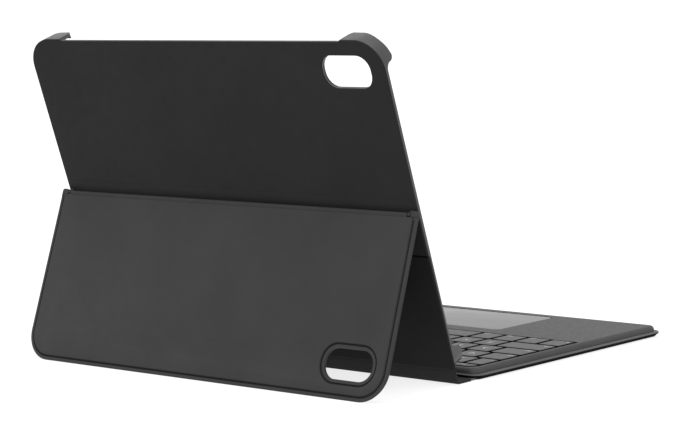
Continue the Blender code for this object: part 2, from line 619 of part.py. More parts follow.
def build():
    clear_scene()
    base = empty("keyboard_frame", BACK_LINE)
    attach(base, keyboard_bottom_cover(), keyboard_deck(), *keyboard_internals(), charging_port())
    attach(base, *touchpad(), *keys(), power_switch())

    half = SPINE_THICKNESS / 2
    lower_axis = BACK_LINE + Vector((0, KEYBOARD_REAR, half))
    upper_axis = BACK_LINE + Vector((0, -half * math.tan(SPINE_UPPER_ANGLE / 2), half))
    shell_axis = BACK_LINE + SHELL_BACK_START + SPINE_FORWARD * half
    lower = spine_panel("spine_lower_panel", SPINE_LOWER_HALF_WIDTH, CREASE_CLEARANCE,
                        upper_axis.y - lower_axis.y - CREASE_CLEARANCE)
    attach(empty("spine_lower_axis", lower_axis), lower)
    upper = spine_panel("spine_upper_panel", SPINE_UPPER_HALF_WIDTH, CREASE_CLEARANCE,
                        (shell_axis - upper_axis).length - TRAY_CREASE_CLEARANCE)
    attach(empty("spine_upper_axis", upper_axis, SPINE_UPPER_ANGLE), upper)

    tray = empty("tray_frame", BACK_LINE + SHELL_BACK_START, SHELL_ANGLE)
    attach(tray, tablet_shell(), upper_back_skin(), *lower_back_panel(), tablet_lining())
    attach(tray, kickstand_hinge_leaf(), kickstand_hinge_pin())

    stand = empty("kickstand_axis", BACK_LINE + KICKSTAND_AXIS, math.pi - KICKSTAND_ANGLE)
    pieces = kickstand()
    attach(stand, *pieces)
    smooth(pieces[3])


build()
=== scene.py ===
"""Looks of the tablet keyboard case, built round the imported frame. Metres, +Z up, the user at -Y.

Every visible shell, cover, key and strip is modelled here in finer detail than the working model, in the
local frame of the part it belongs to: the keyboard's, the tray's or the kickstand's.
"""

import json
import math

import bmesh
import bpy
from mathutils import Matrix, Vector


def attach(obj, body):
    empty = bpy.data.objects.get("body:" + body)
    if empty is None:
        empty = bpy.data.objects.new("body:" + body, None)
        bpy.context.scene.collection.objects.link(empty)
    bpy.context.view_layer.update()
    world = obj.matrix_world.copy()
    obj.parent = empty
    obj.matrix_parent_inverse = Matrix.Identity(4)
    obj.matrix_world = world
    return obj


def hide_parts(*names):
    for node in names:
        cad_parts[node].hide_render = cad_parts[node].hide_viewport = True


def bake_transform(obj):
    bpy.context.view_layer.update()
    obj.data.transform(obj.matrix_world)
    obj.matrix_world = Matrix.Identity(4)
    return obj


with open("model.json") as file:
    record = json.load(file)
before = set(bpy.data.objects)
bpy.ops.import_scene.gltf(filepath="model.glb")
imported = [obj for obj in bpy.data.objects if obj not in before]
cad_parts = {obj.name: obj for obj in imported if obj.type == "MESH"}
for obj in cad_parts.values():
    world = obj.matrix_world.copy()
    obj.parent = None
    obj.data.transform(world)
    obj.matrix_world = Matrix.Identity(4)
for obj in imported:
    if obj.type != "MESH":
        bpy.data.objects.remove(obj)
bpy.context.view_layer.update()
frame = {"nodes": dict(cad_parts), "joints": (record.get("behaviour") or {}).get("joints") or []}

# ---- places taken from the frame ----
JOINTS = {joint["name"]: joint for joint in frame["joints"]}


def joint_point(name):
    return Vector(JOINTS[name]["pos_m"])


SPINE_HALF = 0.0007             # half the thickness of the folding spine
SPINE_ANGLE = math.radians(63.7)
TRAY_ANGLE = math.radians(70.6)
STAND_ANGLE = math.radians(109.0)
SPINE_UP = Vector((0, math.cos(SPINE_ANGLE), math.sin(SPINE_ANGLE)))
SPINE_FORWARD = Vector((0, -math.sin(SPINE_ANGLE), math.cos(SPINE_ANGLE)))
TRAY_UP = Vector((0, math.cos(TRAY_ANGLE), math.sin(TRAY_ANGLE)))

REAR_FOLD = joint_point("spine_lower_fold")
BACK_FOLD = joint_point("spine_upper_fold")
TRAY_FOLD = joint_point("tray_fold")
HINGE = joint_point("kickstand_hinge")

KEYBOARD = Matrix.Translation((0, REAR_FOLD.y, 0))
TRAY_FOOT = TRAY_FOLD - SPINE_FORWARD * SPINE_HALF
TRAY = Matrix.Translation(TRAY_FOOT) @ Matrix.Rotation(TRAY_ANGLE, 4, "X")
STAND = Matrix.Translation(HINGE) @ Matrix.Rotation(STAND_ANGLE, 4, "X")

# ---- keyboard base, y measured from its rear edge ----
BASE_HALF_WIDTH = 0.12835
BASE_DEPTH = 0.1880
BASE_CORNER = 0.0075
SOLE_INSET = 0.0023
FLANGE_BOTTOM = 0.0018
FLANGE_TOP = 0.0031
DECK_BOTTOM = 0.0033
DECK_TOP = 0.0064
DECK_SETBACK = 0.0026
DECK_SLOPE = 0.0016
SOLE_TOP = 0.0004
FLANGE_ROUND = 0.0004           # how far the flange's edge is rounded in
RECESS_INSET = 0.0048           # the pocket inside the base cover
RECESS_REAR = -0.0030
RECESS_FLOOR = 0.0012
RECESS_CORNER = 0.003
ROOM_TOP = 0.0054               # ceiling of the rooms under the palm rest
PALM_ROOM_X = (0.0625, 0.1190)
PALM_ROOM_Y = (-0.1757, -0.1182)
MAGNET_X = 0.0900
MAGNET_ROOM_HALF = 0.0063
MAGNET_ROOM_Y = (-0.1825, -0.1779)
WELL_HALF_WIDTH = 0.1229
WELL_REAR = -0.0035
WELL_FRONT = -0.1056
WELL_REAR_CORNER = 0.0060
WELL_FRONT_CORNER = 0.0020
PAD_HALF_WIDTH = 0.0580
PAD_REAR = -0.1182
PAD_FRONT = -0.1767
PAD_CORNER = 0.0037
PAD_GAP = 0.0003
PORT_Y = -0.1427
PORT_HALF_WIDTH = 0.0048
PORT_Z = (0.0022, 0.0061)
PORT_CORNER = 0.0017
SWITCH_Y = -0.1627
SWITCH_TRAVEL = 0.0020
SWITCH_HALF = 0.0018
SWITCH_Z = (0.0043, 0.0052)
SWITCH_X = (0.1168, 0.1260)
LIGHT_X = 0.1050
LIGHT_Y = -0.1119
LIGHT_HALF = (0.0045, 0.0009)

# ---- keys ----
KEY_BOTTOM = 0.0049
KEY_TOP = 0.0067
KEY_GAP = 0.0023
KEY_UNIT = 0.0168
ROW_PITCH = 0.0184
FUNCTION_PITCH = 0.0084
KEY_FIELD = 0.1224
SMALL_KEY = 0.0159
KEY_CORNER = 0.0012
PRINT_HEIGHT = 0.00003
WORD_SIZE = 0.0029
SMALL_WORD_SIZE = 0.0026
LETTER_SIZE = 0.0052
UPPER_MARK_SIZE = 0.0040
LOWER_MARK_SIZE = 0.0044
MARK_OFFSET = 0.0031            # from the key's middle to each of two stacked marks
ARROW_SIZE = 0.0011

# ---- spine ----
STRIP_GAP = 0.0009              # from a fold to the stiffened strip beside it
LOWER_STRIP_HALF_WIDTH = 0.1254
UPPER_STRIP_HALF_WIDTH = 0.1257
KEYBOARD_CREASE_HALF_WIDTH = 0.1250
BACK_CREASE_HALF_WIDTH = 0.1255
KEYBOARD_CREASE_THICKNESS = 0.0010
BACK_CREASE_THICKNESS = 0.0012

# ---- tray ----
TRAY_HALF_WIDTH = 0.1260
TRAY_HEIGHT = 0.1829
TOP_EDGE_RECESS = 0.0009        # the top edge is lower between the clips
TRAY_CORNER = 0.0165
TRAY_FOOT_CORNER = 0.0060       # the outer corners beside the spine are squarer
PLATE_BACK = 0.0009
PLATE_FRONT = 0.0022
LIP_FRONT = 0.0029
LONG_EDGE_FRONT = 0.0023
CLIP_WALL = 0.0022
HOOK_BOTTOM = 0.0101
HOOK_TOP = 0.0113
HOOK_OVERHANG = 0.0012
CLIP_END = 0.1010
CLIP_REACH_UP = 0.0118          # how far the lower clips run up the short sides
CLIP_REACH_DOWN = 0.0134        # and the upper clips down them
CLIP_FILLET = 0.0036
CROWN_FOOT = 0.0045             # the clips' front edge bulges above this height
CROWN_RISE = 0.0010             # bulge at a clip's inner end
CROWN_FALL = 0.0024             # and how much lower it is at the corner
CROWN_START = 0.106
CROWN_RUN = 0.014
CAMERA_CENTRE = (-0.1013, TRAY_HEIGHT - 0.0171)
CAMERA_HALF = (0.0157, 0.0088)
CAMERA_CORNER = 0.0078
LOWER_PANEL_TOP = 0.0653
HINGE_Y = 0.0902
HINGE_Z = -0.0027
EAR_INNER = 0.1222
EAR_OUTER = 0.1239

# ---- kickstand, y measured up from its hinge ----
STAND_HALF_WIDTH = 0.1296
STAND_TAPER = 0.0050            # the share of its width that it loses up to the hinge
STAND_TOP = -0.0016
STAND_CORNER = 0.0165
STAND_FLANGE = 0.0030
# The band also picks the faces that get painted shade in the pressed line's groove.
SEAM_SHADE_BAND = (0.0017, 0.0027)    # where the pressed line lies, measured in from the edge
COVER_THICKNESS = 0.0005
POCKET_INSET = STAND_FLANGE + 0.0007
COLLAR_WIDTH = 0.0040
FLANGE_FACE = 0.0007
PANEL_FACE = 0.0014
SEAM_FACE = 0.0003              # floor of the pressed line between flange and panel
STAND_LENGTH = (HINGE.z + 0.0006 * math.cos(STAND_ANGLE)) / math.sin(STAND_ANGLE)
WINDOW_CENTRE = (-0.1034, -0.0794)
WINDOW_HALF = (0.0155, 0.0081)
WINDOW_CORNER = 0.0076
BEAD_RADIUS = 0.0011
HORN_INNER = 0.1243             # the flange runs up past each end of the hinge
HORN_OUTER = 0.1289
HORN_TOP = 0.0018
OUTER_DROP = 0.0004             # the outer cover reaches down to the table
BEAD_HALF_LENGTH = 0.1218


# ---- studio ----
PAPER_TONE = 0.28
PAPER_GLOW = 0.80
PAPER_LEVEL = -0.0002
SKY_STRENGTH = 1.5
CAMERA_PLACE = (-0.794056, 0.973743, 0.202667)
CAMERA_AZIMUTH = math.radians(39.3)
CAMERA_PITCH = math.radians(5.7835)
CAMERA_ROLL = math.radians(-0.78)
CAMERA_LENS = 113.98


# ---- materials ----
def principled(name, roughness, metallic=0.0, specular=0.5):
    made = bpy.data.materials.new(name)
    made.use_nodes = True
    shader = made.node_tree.nodes["Principled BSDF"]
    shader.inputs["Roughness"].default_value = roughness
    shader.inputs["Metallic"].default_value = metallic
    shader.inputs["Specular IOR Level"].default_value = specular
    return made


def node(made, kind, values=None, **settings):
    found = made.node_tree.nodes.new(kind)
    for key, value in settings.items():
        setattr(found, key, value)
    for key, value in (values or {}).items():
        found.inputs[key].default_value = value
    return found


def link(made, source, target):
    made.node_tree.links.new(source, target)


def shader_of(made):
    return made.node_tree.nodes["Principled BSDF"]


def object_space(made, stretch=(1.0, 1.0, 1.0)):
    """Texture coordinates fixed to the piece, in metres."""
    mapping = node(made, "ShaderNodeMapping", {"Scale": stretch})
    link(made, node(made, "ShaderNodeTexCoord").outputs["Object"], mapping.inputs["Vector"])
    return mapping.outputs["Vector"]


def noise(made, space, per_metre, detail=4.0, roughness=0.5):
    values = {"Scale": per_metre, "Detail": detail, "Roughness": roughness}
    found = node(made, "ShaderNodeTexNoise", values)
    link(made, space, found.inputs["Vector"])
    return found.outputs["Fac"]


def cells(made, space, per_metre, feature="F1"):
    found = node(made, "ShaderNodeTexVoronoi", {"Scale": per_metre}, feature=feature)
    link(made, space, found.inputs["Vector"])
    return found.outputs["Distance"]


def colour_between(made, factor, dark, light, low=0.35, high=0.65):
    ramp = node(made, "ShaderNodeValToRGB")
    ramp.color_ramp.elements[0].position = low
    ramp.color_ramp.elements[1].position = high
    ramp.color_ramp.elements[0].color = (*dark, 1.0)
    ramp.color_ramp.elements[1].color = (*light, 1.0)
    link(made, factor, ramp.inputs["Fac"])
    link(made, ramp.outputs["Color"], shader_of(made).inputs["Base Color"])


def roughness_between(made, factor, low, high):
    values = {"From Min": 0.3, "From Max": 0.7, "To Min": low, "To Max": high}
    spread = node(made, "ShaderNodeMapRange", values)
    link(made, factor, spread.inputs["Value"])
    link(made, spread.outputs["Result"], shader_of(made).inputs["Roughness"])


def bumps(made, layers):
    """Stack bump layers, each a (height, strength, distance) triple, finest last."""
    normal = None
    for height, strength, distance in layers:
        bump = node(made, "ShaderNodeBump", {"Strength": strength, "Distance": distance})
        link(made, height, bump.inputs["Height"])
        if normal is not None:
            link(made, normal, bump.inputs["Normal"])
        normal = bump.outputs["Normal"]
    link(made, normal, shader_of(made).inputs["Normal"])


def scaled(colour, factor):
    return tuple(channel * factor for channel in colour)


def leatherette(name, colour, roughness, specular, grain=0.35):
    """Coated fabric: small pebbles with creases between them, and slow changes of tone."""
    made = principled(name, roughness, specular=specular)
    space = object_space(made)
    cloud = noise(made, space, 22.0, 3.0)
    colour_between(made, cloud, scaled(colour, 0.93), scaled(colour, 1.07))
    roughness_between(made, noise(made, space, 160.0, 5.0), roughness - 0.05, roughness + 0.05)
    bumps(made, ((cloud, 0.10, 0.0004),
                 (noise(made, space, 420.0, 6.0, 0.6), grain, 0.00006),
                 (cells(made, space, 1250.0), grain, 0.00005)))
    return made


def moulded(name, colour, roughness, specular=0.4, texture=0.25):
    """Spark-textured plastic."""
    made = principled(name, roughness, specular=specular)
    space = object_space(made)
    colour_between(made, noise(made, space, 40.0, 3.0), scaled(colour, 0.96), scaled(colour, 1.04))
    roughness_between(made, noise(made, space, 300.0, 4.0), roughness - 0.04, roughness + 0.05)
    bumps(made, ((noise(made, space, 1100.0, 3.0), texture, 0.00003),
                 (noise(made, space, 3600.0, 2.0), texture, 0.00001)))
    return made


def pad_glass():
    """Satin glass with faint wiping marks."""
    made = principled("pad_glass", 0.24, specular=0.5)
    space = object_space(made)
    smear = noise(made, object_space(made, (1.0, 3.5, 1.0)), 28.0, 5.0, 0.6)
    colour_between(made, smear, (0.075, 0.075, 0.077), (0.082, 0.082, 0.084))
    roughness_between(made, smear, 0.21, 0.28)
    bumps(made, ((noise(made, space, 2600.0, 2.0), 0.08, 0.00001),))
    return made


def microfibre():
    made = principled("microfibre_nap", 0.9, specular=0.15)
    shader_of(made).inputs["Sheen Weight"].default_value = 0.35
    shader_of(made).inputs["Sheen Roughness"].default_value = 0.45
    space = object_space(made)
    nap = noise(made, object_space(made, (1.0, 0.55, 1.0)), 34.0, 4.0, 0.65)
    colour_between(made, nap, (0.047, 0.047, 0.049), (0.053, 0.053, 0.055))
    bumps(made, ((nap, 0.12, 0.0002), (noise(made, space, 1500.0, 8.0, 0.75), 0.6, 0.0001)))
    return made


def brushed_metal(name, colour, roughness, stretch=(30.0, 1400.0, 1400.0)):
    made = principled(name, roughness, metallic=1.0)
    grain = noise(made, object_space(made, stretch), 1.0, 5.0, 0.6)
    colour_between(made, grain, scaled(colour, 0.85), scaled(colour, 1.1))
    roughness_between(made, grain, roughness - 0.06, roughness + 0.08)
    bumps(made, ((grain, 0.15, 0.00002),))
    return made


def circuit_board():
    made = principled("circuit_board", 0.45, specular=0.5)
    space = object_space(made)
    tracks = node(made, "ShaderNodeTexBrick", {"Scale": 220.0, "Mortar Size": 0.12})
    tracks.inputs["Color1"].default_value = (0.010, 0.075, 0.035, 1.0)
    tracks.inputs["Color2"].default_value = (0.008, 0.050, 0.024, 1.0)
    tracks.inputs["Mortar"].default_value = (0.030, 0.150, 0.070, 1.0)
    link(made, space, tracks.inputs["Vector"])
    link(made, tracks.outputs["Color"], shader_of(made).inputs["Base Color"])
    bumps(made, ((tracks.outputs["Fac"], 0.3, 0.00004),))
    return made


def battery_foil():
    made = principled("pouch_foil", 0.38, metallic=0.85)
    space = object_space(made)
    crinkle = noise(made, space, 130.0, 6.0, 0.6)
    colour_between(made, crinkle, (0.34, 0.35, 0.37), (0.46, 0.47, 0.49))
    bumps(made, ((crinkle, 0.5, 0.0002),))
    return made


def black_film():
    made = principled("switch_film", 0.5, specular=0.35)
    space = object_space(made)
    colour_between(made, noise(made, space, 60.0, 3.0), (0.006, 0.006, 0.006), (0.011, 0.011, 0.011))
    bumps(made, ((noise(made, space, 700.0, 3.0), 0.2, 0.00003),))
    return made


def light_guide():
    made = principled("light_guide_resin", 0.22, specular=0.5)
    shader_of(made).inputs["Transmission Weight"].default_value = 0.45
    space = object_space(made)
    colour_between(made, noise(made, space, 500.0, 3.0), (0.72, 0.75, 0.77), (0.84, 0.86, 0.88))
    bumps(made, ((noise(made, space, 1500.0, 2.0), 0.1, 0.00002),))
    return made


def fibre_board():
    made = principled("fibre_board_pulp", 0.85, specular=0.2)
    fibres = noise(made, object_space(made, (1.0, 4.0, 1.0)), 240.0, 7.0, 0.7)
    colour_between(made, fibres, (0.12, 0.090, 0.055), (0.20, 0.15, 0.10))
    bumps(made, ((fibres, 0.5, 0.0001),))
    return made


def key_print():
    made = principled("key_print", 0.55, specular=0.3)
    space = object_space(made)
    colour_between(made, noise(made, space, 900.0, 3.0), (0.46, 0.46, 0.46), (0.56, 0.56, 0.56))
    bumps(made, ((noise(made, space, 2400.0, 2.0), 0.15, 0.00001),))
    return made


LEATHER_DARK = leatherette("back_leatherette", (0.0150, 0.0150, 0.0155), 0.62, 0.10, 0.22)
# A darker copy of the back leatherette: painted shade for the lower back, which lies behind the kickstand.
LEATHER_LOWER_SHADE = leatherette("lower_back_leatherette_painted_shade", (0.0110, 0.0110, 0.0114), 0.64, 0.08, 0.22)
LEATHER = leatherette("kickstand_leatherette", (0.0335, 0.0335, 0.0340), 0.60, 0.16, 0.30)
# A darker copy of the kickstand leatherette: painted shade in the groove of the pressed line.
LEATHER_SEAM_SHADE = leatherette("pressed_seam_painted_shade", (0.016, 0.016, 0.016), 0.70, 0.05, 0.15)
BASE_LEATHER = leatherette("base_leatherette", (0.080, 0.080, 0.081), 0.58, 0.25, 0.25)
# A near-black copy for the base's lower side: painted shade under the flange.
SOLE_SHADE = leatherette("sole_painted_shade", (0.004, 0.004, 0.004), 0.85, 0.03, 0.40)
TRAY_PLASTIC = moulded("tray_moulding", (0.028, 0.028, 0.029), 0.34, 0.60)
DECK_PLASTIC = moulded("deck_moulding", (0.042, 0.042, 0.044), 0.52, 0.25)
# Near-black walls of the key well and the touchpad opening: painted shade in the recesses.
WELL_WALL_SHADE = moulded("well_wall_painted_shade", (0.006, 0.006, 0.006), 0.70, 0.10)
# Near-black sides of the key caps: painted shade in the gaps between keys.
KEY_SIDE_SHADE = moulded("key_side_painted_shade", (0.004, 0.004, 0.004), 0.75, 0.05)
KEY_PLASTIC = moulded("key_moulding", (0.052, 0.052, 0.054), 0.48, 0.35)
KEY_PRINT = key_print()
PAD_GLASS = pad_glass()
MICROFIBRE = microfibre()
STEEL = brushed_metal("brushed_steel", (0.52, 0.52, 0.53), 0.34)
MAGNET = brushed_metal("plated_magnet", (0.62, 0.61, 0.60), 0.24, (500.0, 500.0, 500.0))


# ---- outlines and solids ----
def rounded_rect(x0, x1, y0, y1, radii, steps=12):
    """Counter-clockwise points of a rectangle; radii are for the corners x1y0, x1y1, x0y1 and x0y0."""
    if not isinstance(radii, (tuple, list)):
        radii = (radii,) * 4
    corners = ((x1, y0, -90, -1, 1), (x1, y1, 0, -1, -1), (x0, y1, 90, 1, -1), (x0, y0, 180, 1, 1))
    points = []
    for (x, y, start, sx, sy), radius in zip(corners, radii):
        cx, cy = x + sx * radius, y + sy * radius
        for step in range(steps + 1):
            angle = math.radians(start + 90 * step / steps)
            points.append((cx + radius * math.cos(angle), cy + radius * math.sin(angle)))
    return points


def window_outline(centre, half, corner, growth=0.0):
    (x, y), (half_x, half_y) = centre, half
    return rounded_rect(x - half_x - growth, x + half_x + growth, y - half_y - growth, y + half_y + growth,
                        corner + growth)


def eased(low, high, low_radius, high_radius, steps=5):
    """(inset, z) pairs up the side of a plate whose two edges are rounded."""
    pairs = []
    for radius, level, sign, turn in ((low_radius, low, 1, 0), (high_radius, high, -1, 1)):
        quarter = []
        for step in range(steps + 1):
            angle = math.pi / 2 * step / steps
            rise = sign * radius * (1 - math.cos(angle))
            quarter.append((radius * (1 - math.sin(angle)), level + rise))
        pairs += reversed(quarter) if turn else quarter
    return pairs


def swell(inset0, z0, inset1, z1, steps=6):
    """(inset, z) pairs along an S-shaped step between two levels."""
    pairs = []
    for step in range(1, steps + 1):
        share = step / steps
        rise = (1 - math.cos(math.pi * share)) / 2
        pairs.append((inset0 + (inset1 - inset0) * share, z0 + (z1 - z0) * rise))
    return pairs


def closed_solid(shape, loops):
    """Skin a stack of closed rings of vertices and cap both ends."""
    count = len(loops[0])
    made = []
    for low, high in zip(loops, loops[1:]):
        for i in range(count):
            j = (i + 1) % count
            made.append(shape.faces.new((low[i], low[j], high[j], high[i])))
    made.append(shape.faces.new(list(reversed(loops[0]))))
    made.append(shape.faces.new(loops[-1]))
    return made


def to_object(name, shape, *materials):
    bmesh.ops.remove_doubles(shape, verts=shape.verts, dist=1e-7)
    bmesh.ops.recalc_face_normals(shape, faces=shape.faces)
    mesh = bpy.data.meshes.new(name)
    shape.to_mesh(mesh)
    shape.free()
    for made in materials:
        mesh.materials.append(made)
    obj = bpy.data.objects.new(name, mesh)
    bpy.context.scene.collection.objects.link(obj)
    return obj


def stacked(name, outline, profile, *materials, second=None):
    """A solid whose rings are outline(inset), each at its own z; second(inset, z) picks material two."""
    shape = bmesh.new()
    loops = [[shape.verts.new((x, y, z)) for x, y in outline(inset)] for inset, z in profile]
    faces = closed_solid(shape, loops)
    if second:
        middles = [((a[0] + b[0]) / 2, (a[1] + b[1]) / 2) for a, b in zip(profile, profile[1:])]
        spots = [middle for middle in middles for _ in loops[0]] + [profile[0], profile[-1]]
        for face, spot in zip(faces, spots):
            face.material_index = int(second(*spot))
    return to_object(name, shape, *materials)


def everywhere(inset, z):
    return True


def prism(name, points, z0, z1, *materials, second=None):
    return stacked(name, lambda inset: points, ((0, z0), (0, z1)), *materials, second=second)


def box(name, x0, x1, y0, y1, z0, z1):
    return prism(name, ((x0, y0), (x1, y0), (x1, y1), (x0, y1)), z0, z1)


def along_x(name, points, x0, x1, *materials):
    """Extrude an outline given as (y, z) points from x0 to x1."""
    obj = prism(name, points, x0, x1, *materials)
    obj.data.transform(Matrix(((0, 0, 1, 0), (1, 0, 0, 0), (0, 1, 0, 0), (0, 0, 0, 1))))
    return obj


def boolean(obj, other, operation):
    other.hide_render = True
    modifier = obj.modifiers.new(other.name, "BOOLEAN")
    modifier.operation = operation
    modifier.solver = "EXACT"
    modifier.object = other


def cut(obj, *cutters):
    for cutter in cutters:
        boolean(obj, cutter, "DIFFERENCE")


def unite(obj, *others):
    for other in others:
        boolean(obj, other, "UNION")


def settle(obj):
    """Apply the booleans and remove the shapes they used."""
    bpy.context.view_layer.update()
    depsgraph = bpy.context.evaluated_depsgraph_get()
    mesh = bpy.data.meshes.new_from_object(obj.evaluated_get(depsgraph))
    used = [modifier.object for modifier in obj.modifiers]
    obj.modifiers.clear()
    obj.data = mesh
    for other in used:
        bpy.data.objects.remove(other, do_unlink=True)


def soften(obj, width=0.0002, segments=2, angle=40):
    """Round the sharp edges a little and shade the rest smooth."""
    bevel = obj.modifiers.new("eased_edges", "BEVEL")
    bevel.width = width
    bevel.segments = segments
    bevel.limit_method = "ANGLE"
    bevel.angle_limit = math.radians(angle)
    bevel.harden_normals = True
    obj.data.shade_smooth()
    obj.data.set_sharp_from_angle(angle=math.radians(angle))


def place(obj, where, body, slot, *nodes):
    obj.matrix_world = where
    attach(obj, body)
    if nodes:
        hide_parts(*nodes)
    return obj


# ---- keyboard base ----
def base_outline(inset):
    corner = max(BASE_CORNER - inset, 0.001)
    half = BASE_HALF_WIDTH - inset
    return rounded_rect(-half, half, -BASE_DEPTH + inset, -inset, corner)


def deck_outline(inset):
    half = BASE_HALF_WIDTH - inset
    rear = -0.0012 - (inset - DECK_SETBACK) * 0.9
    return rounded_rect(-half, half, -BASE_DEPTH + inset, rear, max(BASE_CORNER - inset, 0.001))


def keyboard_base():
    sole = [(SOLE_INSET + 0.0006, 0.0), (SOLE_INSET + 0.0002, 0.00012), (SOLE_INSET, SOLE_TOP)]
    sole += swell(SOLE_INSET, SOLE_TOP, FLANGE_ROUND, FLANGE_BOTTOM, 5)
    middle = (FLANGE_BOTTOM + FLANGE_TOP) / 2
    half = (FLANGE_TOP - FLANGE_BOTTOM) / 2
    flange = [(FLANGE_ROUND * (1 - math.cos(math.radians(a))), middle + half * math.sin(math.radians(a)))
              for a in (-60, -30, 0, 30, 60, 90)]
    # Faces on the base's lower side, up into the flange's lower part, take the near-black copy: painted
    # shade.
    cover = stacked("keyboard_base_cover", base_outline, sole + flange, BASE_LEATHER, SOLE_SHADE,
                    second=lambda inset, z: z < FLANGE_BOTTOM + 0.0005)
    recess_half = BASE_HALF_WIDTH - RECESS_INSET
    recess = rounded_rect(-recess_half, recess_half, -BASE_DEPTH + RECESS_INSET, RECESS_REAR, RECESS_CORNER)
    plug_room = box("plug_room", 0.1225, 0.1300, PORT_Y - 0.0062, PORT_Y + 0.0062, 0.0024, 0.0050)
    cut(cover, prism("base_recess", recess, RECESS_FLOOR, 0.01), plug_room)
    settle(cover)
    soften(cover, 0.00015)
    place(cover, KEYBOARD, "keyboard", "leather", "keyboard_bottom_cover")


def keyboard_deck():
    foot = DECK_SETBACK
    profile = [(foot, DECK_BOTTOM), (foot + 0.0001, DECK_BOTTOM + 0.0002)]
    for step in range(1, 9):
        angle = math.pi / 2 * step / 8
        profile.append((foot + 0.0001 + (DECK_SLOPE + 0.0006) * (1 - math.cos(angle)),
                        DECK_BOTTOM + 0.0002 + (DECK_TOP - DECK_BOTTOM - 0.0002) * math.sin(angle)))
    deck = stacked("keyboard_deck_moulding", deck_outline, profile, DECK_PLASTIC, WELL_WALL_SHADE)
    corners = (WELL_FRONT_CORNER, WELL_REAR_CORNER, WELL_REAR_CORNER, WELL_FRONT_CORNER)
    well = rounded_rect(-WELL_HALF_WIDTH, WELL_HALF_WIDTH, WELL_FRONT, WELL_REAR, corners)
    pad_half = PAD_HALF_WIDTH + PAD_GAP
    pad = rounded_rect(-pad_half, pad_half, PAD_FRONT - PAD_GAP, PAD_REAR + PAD_GAP, PAD_CORNER + PAD_GAP)
    # The walls of the well and of the pad opening take the near-black copy: painted shade in the recesses.
    well_cutter = prism("key_well", well, 0.0, 0.01, DECK_PLASTIC, WELL_WALL_SHADE, second=everywhere)
    pad_cutter = prism("pad_opening", pad, 0.0, 0.01, DECK_PLASTIC, WELL_WALL_SHADE, second=everywhere)
    cut(deck, well_cutter, pad_cutter)
    for side in (-1, 1):
        inner, outer = sorted(side * x for x in PALM_ROOM_X)
        cut(deck, box("palm_rest_room_%d" % side, inner, outer, *PALM_ROOM_Y, 0.0, ROOM_TOP))
        inner, outer = side * MAGNET_X - MAGNET_ROOM_HALF, side * MAGNET_X + MAGNET_ROOM_HALF
        cut(deck, box("magnet_room_%d" % side, inner, outer, *MAGNET_ROOM_Y, 0.0, ROOM_TOP))
    port = rounded_rect(PORT_Y - PORT_HALF_WIDTH, PORT_Y + PORT_HALF_WIDTH, *PORT_Z, PORT_CORNER, 6)
    cut(deck, along_x("port_opening", port, 0.1160, 0.1300))
    slot = rounded_rect(SWITCH_Y - 0.0022, SWITCH_Y + 0.0022 + SWITCH_TRAVEL, 0.0040, 0.0055, 0.0005, 4)
    cut(deck, along_x("switch_slot", slot, 0.1185, 0.1300))
    half_x, half_y = LIGHT_HALF
    light = rounded_rect(LIGHT_X - half_x, LIGHT_X + half_x, LIGHT_Y - half_y, LIGHT_Y + half_y, 0.0008, 5)
    cut(deck, prism("light_slot", light, 0.0, 0.01))
    settle(deck)
    soften(deck, 0.00022, 2, 50)
    place(deck, KEYBOARD, "keyboard", "deck_plastic", "keyboard_deck")


def touchpad():
    def outline(inset):
        half = PAD_HALF_WIDTH - inset
        return rounded_rect(-half, half, PAD_FRONT + inset, PAD_REAR - inset, PAD_CORNER - inset)
    side = eased(0.0055, DECK_TOP - 0.0001, 0.0001, 0.0003)
    glass = stacked("touchpad_glass_plate", outline, side, PAD_GLASS)
    glass.data.shade_smooth()
    glass.data.set_sharp_from_angle(angle=math.radians(50))
    place(glass, KEYBOARD, "touchpad", "touchpad_glass", "touchpad_plate")


def power_switch():
    """A sliding knob with three grip ridges on its end."""
    y0, y1 = SWITCH_Y - SWITCH_HALF, SWITCH_Y + SWITCH_HALF
    knob = along_x("power_switch_knob", rounded_rect(y0, y1, *SWITCH_Z, 0.00035, 4), *SWITCH_X, KEY_PLASTIC)
    for index in range(3):
        y = SWITCH_Y + (index - 1) * 0.0010
        ridge = rounded_rect(y - 0.0002, y + 0.0002, 0.0044, 0.0051, 0.00015, 3)
        unite(knob, along_x("grip_ridge_%d" % index, ridge, 0.1250, 0.1262))
    unite(knob, box("switch_foot", SWITCH_X[0], 0.1180, y0 - 0.0001, y1 + 0.0001, 0.0027, 0.0047))
    settle(knob)
    soften(knob, 0.00008)
    place(knob, KEYBOARD, "power_switch", "key_plastic", "power_switch")


# ---- keys ----
TEXT_CACHE = {}


def text_mesh(text, size, align):
    """A thin raised print of a text, as a mesh lying on z 0."""
    if (text, size, align) not in TEXT_CACHE:
        curve = bpy.data.curves.new("print", "FONT")
        curve.body = text
        curve.size = size
        curve.align_x = align
        curve.align_y = "CENTER"
        curve.extrude = PRINT_HEIGHT
        curve.resolution_u = 3
        holder = bpy.data.objects.new("print", curve)
        bpy.context.scene.collection.objects.link(holder)
        bpy.context.view_layer.update()
        depsgraph = bpy.context.evaluated_depsgraph_get()
        TEXT_CACHE[(text, size, align)] = bpy.data.meshes.new_from_object(holder.evaluated_get(depsgraph))
        bpy.data.objects.remove(holder, do_unlink=True)
        bpy.data.curves.remove(curve)
    return TEXT_CACHE[(text, size, align)]


def print_text(shape, text, x, y, size, align="CENTER"):
    mesh = text_mesh(text, size, align).copy()
    mesh.transform(Matrix.Translation((x, y, KEY_TOP)))
    first = len(shape.faces)
    shape.from_mesh(mesh)
    shape.faces.ensure_lookup_table()
    for face in shape.faces[first:]:
        face.material_index = 1
    bpy.data.meshes.remove(mesh)


